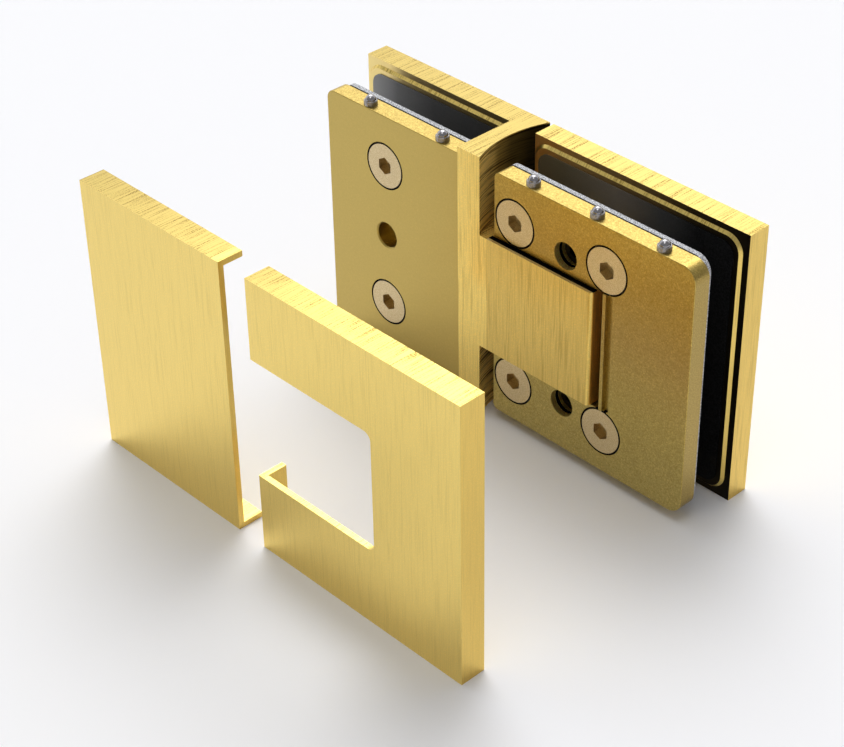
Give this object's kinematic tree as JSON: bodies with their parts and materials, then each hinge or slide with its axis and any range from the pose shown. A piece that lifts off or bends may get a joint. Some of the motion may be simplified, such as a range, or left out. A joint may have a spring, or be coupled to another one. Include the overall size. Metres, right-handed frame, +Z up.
{
  "type": "shower door hinge",
  "caption": "Glass-to-glass shower door hinge with two rectangular clamp plates on a central knuckle and square box covers pulled off to the front.",
  "frame": {"origin": "on the pin's axis, level with the lower edges of the plates", "axes": "+X from the pin towards the door leaf, +Y towards the back, +Z up along the pin"},
  "size_m": [0.1501, 0.1162, 0.09],
  "materials": {
    "brushed_brass": "brushed",
    "satin_brass": "satin",
    "nickel_screw": "satin",
    "black_screw": "black oxide",
    "steel": "ground",
    "bright_steel": "polished",
    "grey_liner": "matt",
    "black_pad": "semi-matt",
    "bush_polymer": "moulded"
  },
  "bodies": {
    "fixed_side": {"hinge_body": "brushed_brass", "fixed_front_plate": "satin_brass", "fixed_front_gasket": "grey_liner", "fixed_rear_gasket": "black_pad", "fixed_plate_screws": "nickel_screw", "fixed_plunger_sleeves": "bright_steel", "fixed_cover": "brushed_brass", "leaf_cover": "brushed_brass", "upper_bush": "bush_polymer", "lower_bush": "bush_polymer", "upper_cam_spring": "steel", "lower_cam_spring": "steel", "cam_spring_plugs": "steel", "fixed_spring_top_1": "steel", "fixed_spring_top_2": "steel"},
    "leaf": {"leaf_rear_plate": "brushed_brass", "leaf_rear_gasket": "black_pad", "leaf_front_plate": "satin_brass", "leaf_front_gasket": "grey_liner", "leaf_plate_screws": "nickel_screw", "leaf_plunger_sleeves": "bright_steel", "pivot_pin": "steel", "pin_lock_screws": "black_screw", "leaf_spring_top_1": "steel", "leaf_spring_top_2": "steel", "leaf_spring_top_3": "steel"},
    "upper_cam": {"upper_cam_plunger": "steel"},
    "lower_cam": {"lower_cam_plunger": "steel"},
    "fixed_detent_top_1_body": {"fixed_detent_top_1": "bright_steel"},
    "fixed_detent_top_2_body": {"fixed_detent_top_2": "bright_steel"},
    "leaf_detent_top_1_body": {"leaf_detent_top_1": "bright_steel"},
    "leaf_detent_top_2_body": {"leaf_detent_top_2": "bright_steel"},
    "leaf_detent_top_3_body": {"leaf_detent_top_3": "bright_steel"}
  },
  "joints": [
    {"name": "leaf_swing", "type": "hinge", "parent": "fixed_side", "child": "leaf", "pos_m": [0, 0, 0.045], "axis": [0, 0, 1], "range_deg": [-90, 90]},
    {"name": "upper_cam_slide", "type": "slide", "parent": "fixed_side", "child": "upper_cam", "axis": [1, 0, 0], "range_m": [0, 0.00065], "stiffness_N_per_m": 1500, "springref_m": 0.004, "deforming": ["upper_cam_spring"]},
    {"name": "lower_cam_slide", "type": "slide", "parent": "fixed_side", "child": "lower_cam", "axis": [1, 0, 0], "range_m": [0, 0.00065], "stiffness_N_per_m": 1500, "springref_m": 0.004, "deforming": ["lower_cam_spring"]},
    {"name": "fixed_detent_top_1_press", "type": "slide", "parent": "fixed_side", "child": "fixed_detent_top_1_body", "axis": [0, 0, 1], "range_m": [-0.0012, 0], "stiffness_N_per_m": 200, "springref_m": 0.002, "deforming": ["fixed_spring_top_1"]},
    {"name": "fixed_detent_top_2_press", "type": "slide", "parent": "fixed_side", "child": "fixed_detent_top_2_body", "axis": [0, 0, 1], "range_m": [-0.0012, 0], "stiffness_N_per_m": 200, "springref_m": 0.002, "deforming": ["fixed_spring_top_2"]},
    {"name": "leaf_detent_top_1_press", "type": "slide", "parent": "leaf", "child": "leaf_detent_top_1_body", "axis": [0, 0, 1], "range_m": [-0.0012, 0], "stiffness_N_per_m": 200, "springref_m": 0.002, "deforming": ["leaf_spring_top_1"]},
    {"name": "leaf_detent_top_2_press", "type": "slide", "parent": "leaf", "child": "leaf_detent_top_2_body", "axis": [0, 0, 1], "range_m": [-0.0012, 0], "stiffness_N_per_m": 200, "springref_m": 0.002, "deforming": ["leaf_spring_top_2"]},
    {"name": "leaf_detent_top_3_press", "type": "slide", "parent": "leaf", "child": "leaf_detent_top_3_body", "axis": [0, 0, 1], "range_m": [-0.0012, 0], "stiffness_N_per_m": 200, "springref_m": 0.002, "deforming": ["leaf_spring_top_3"]}
  ]
}
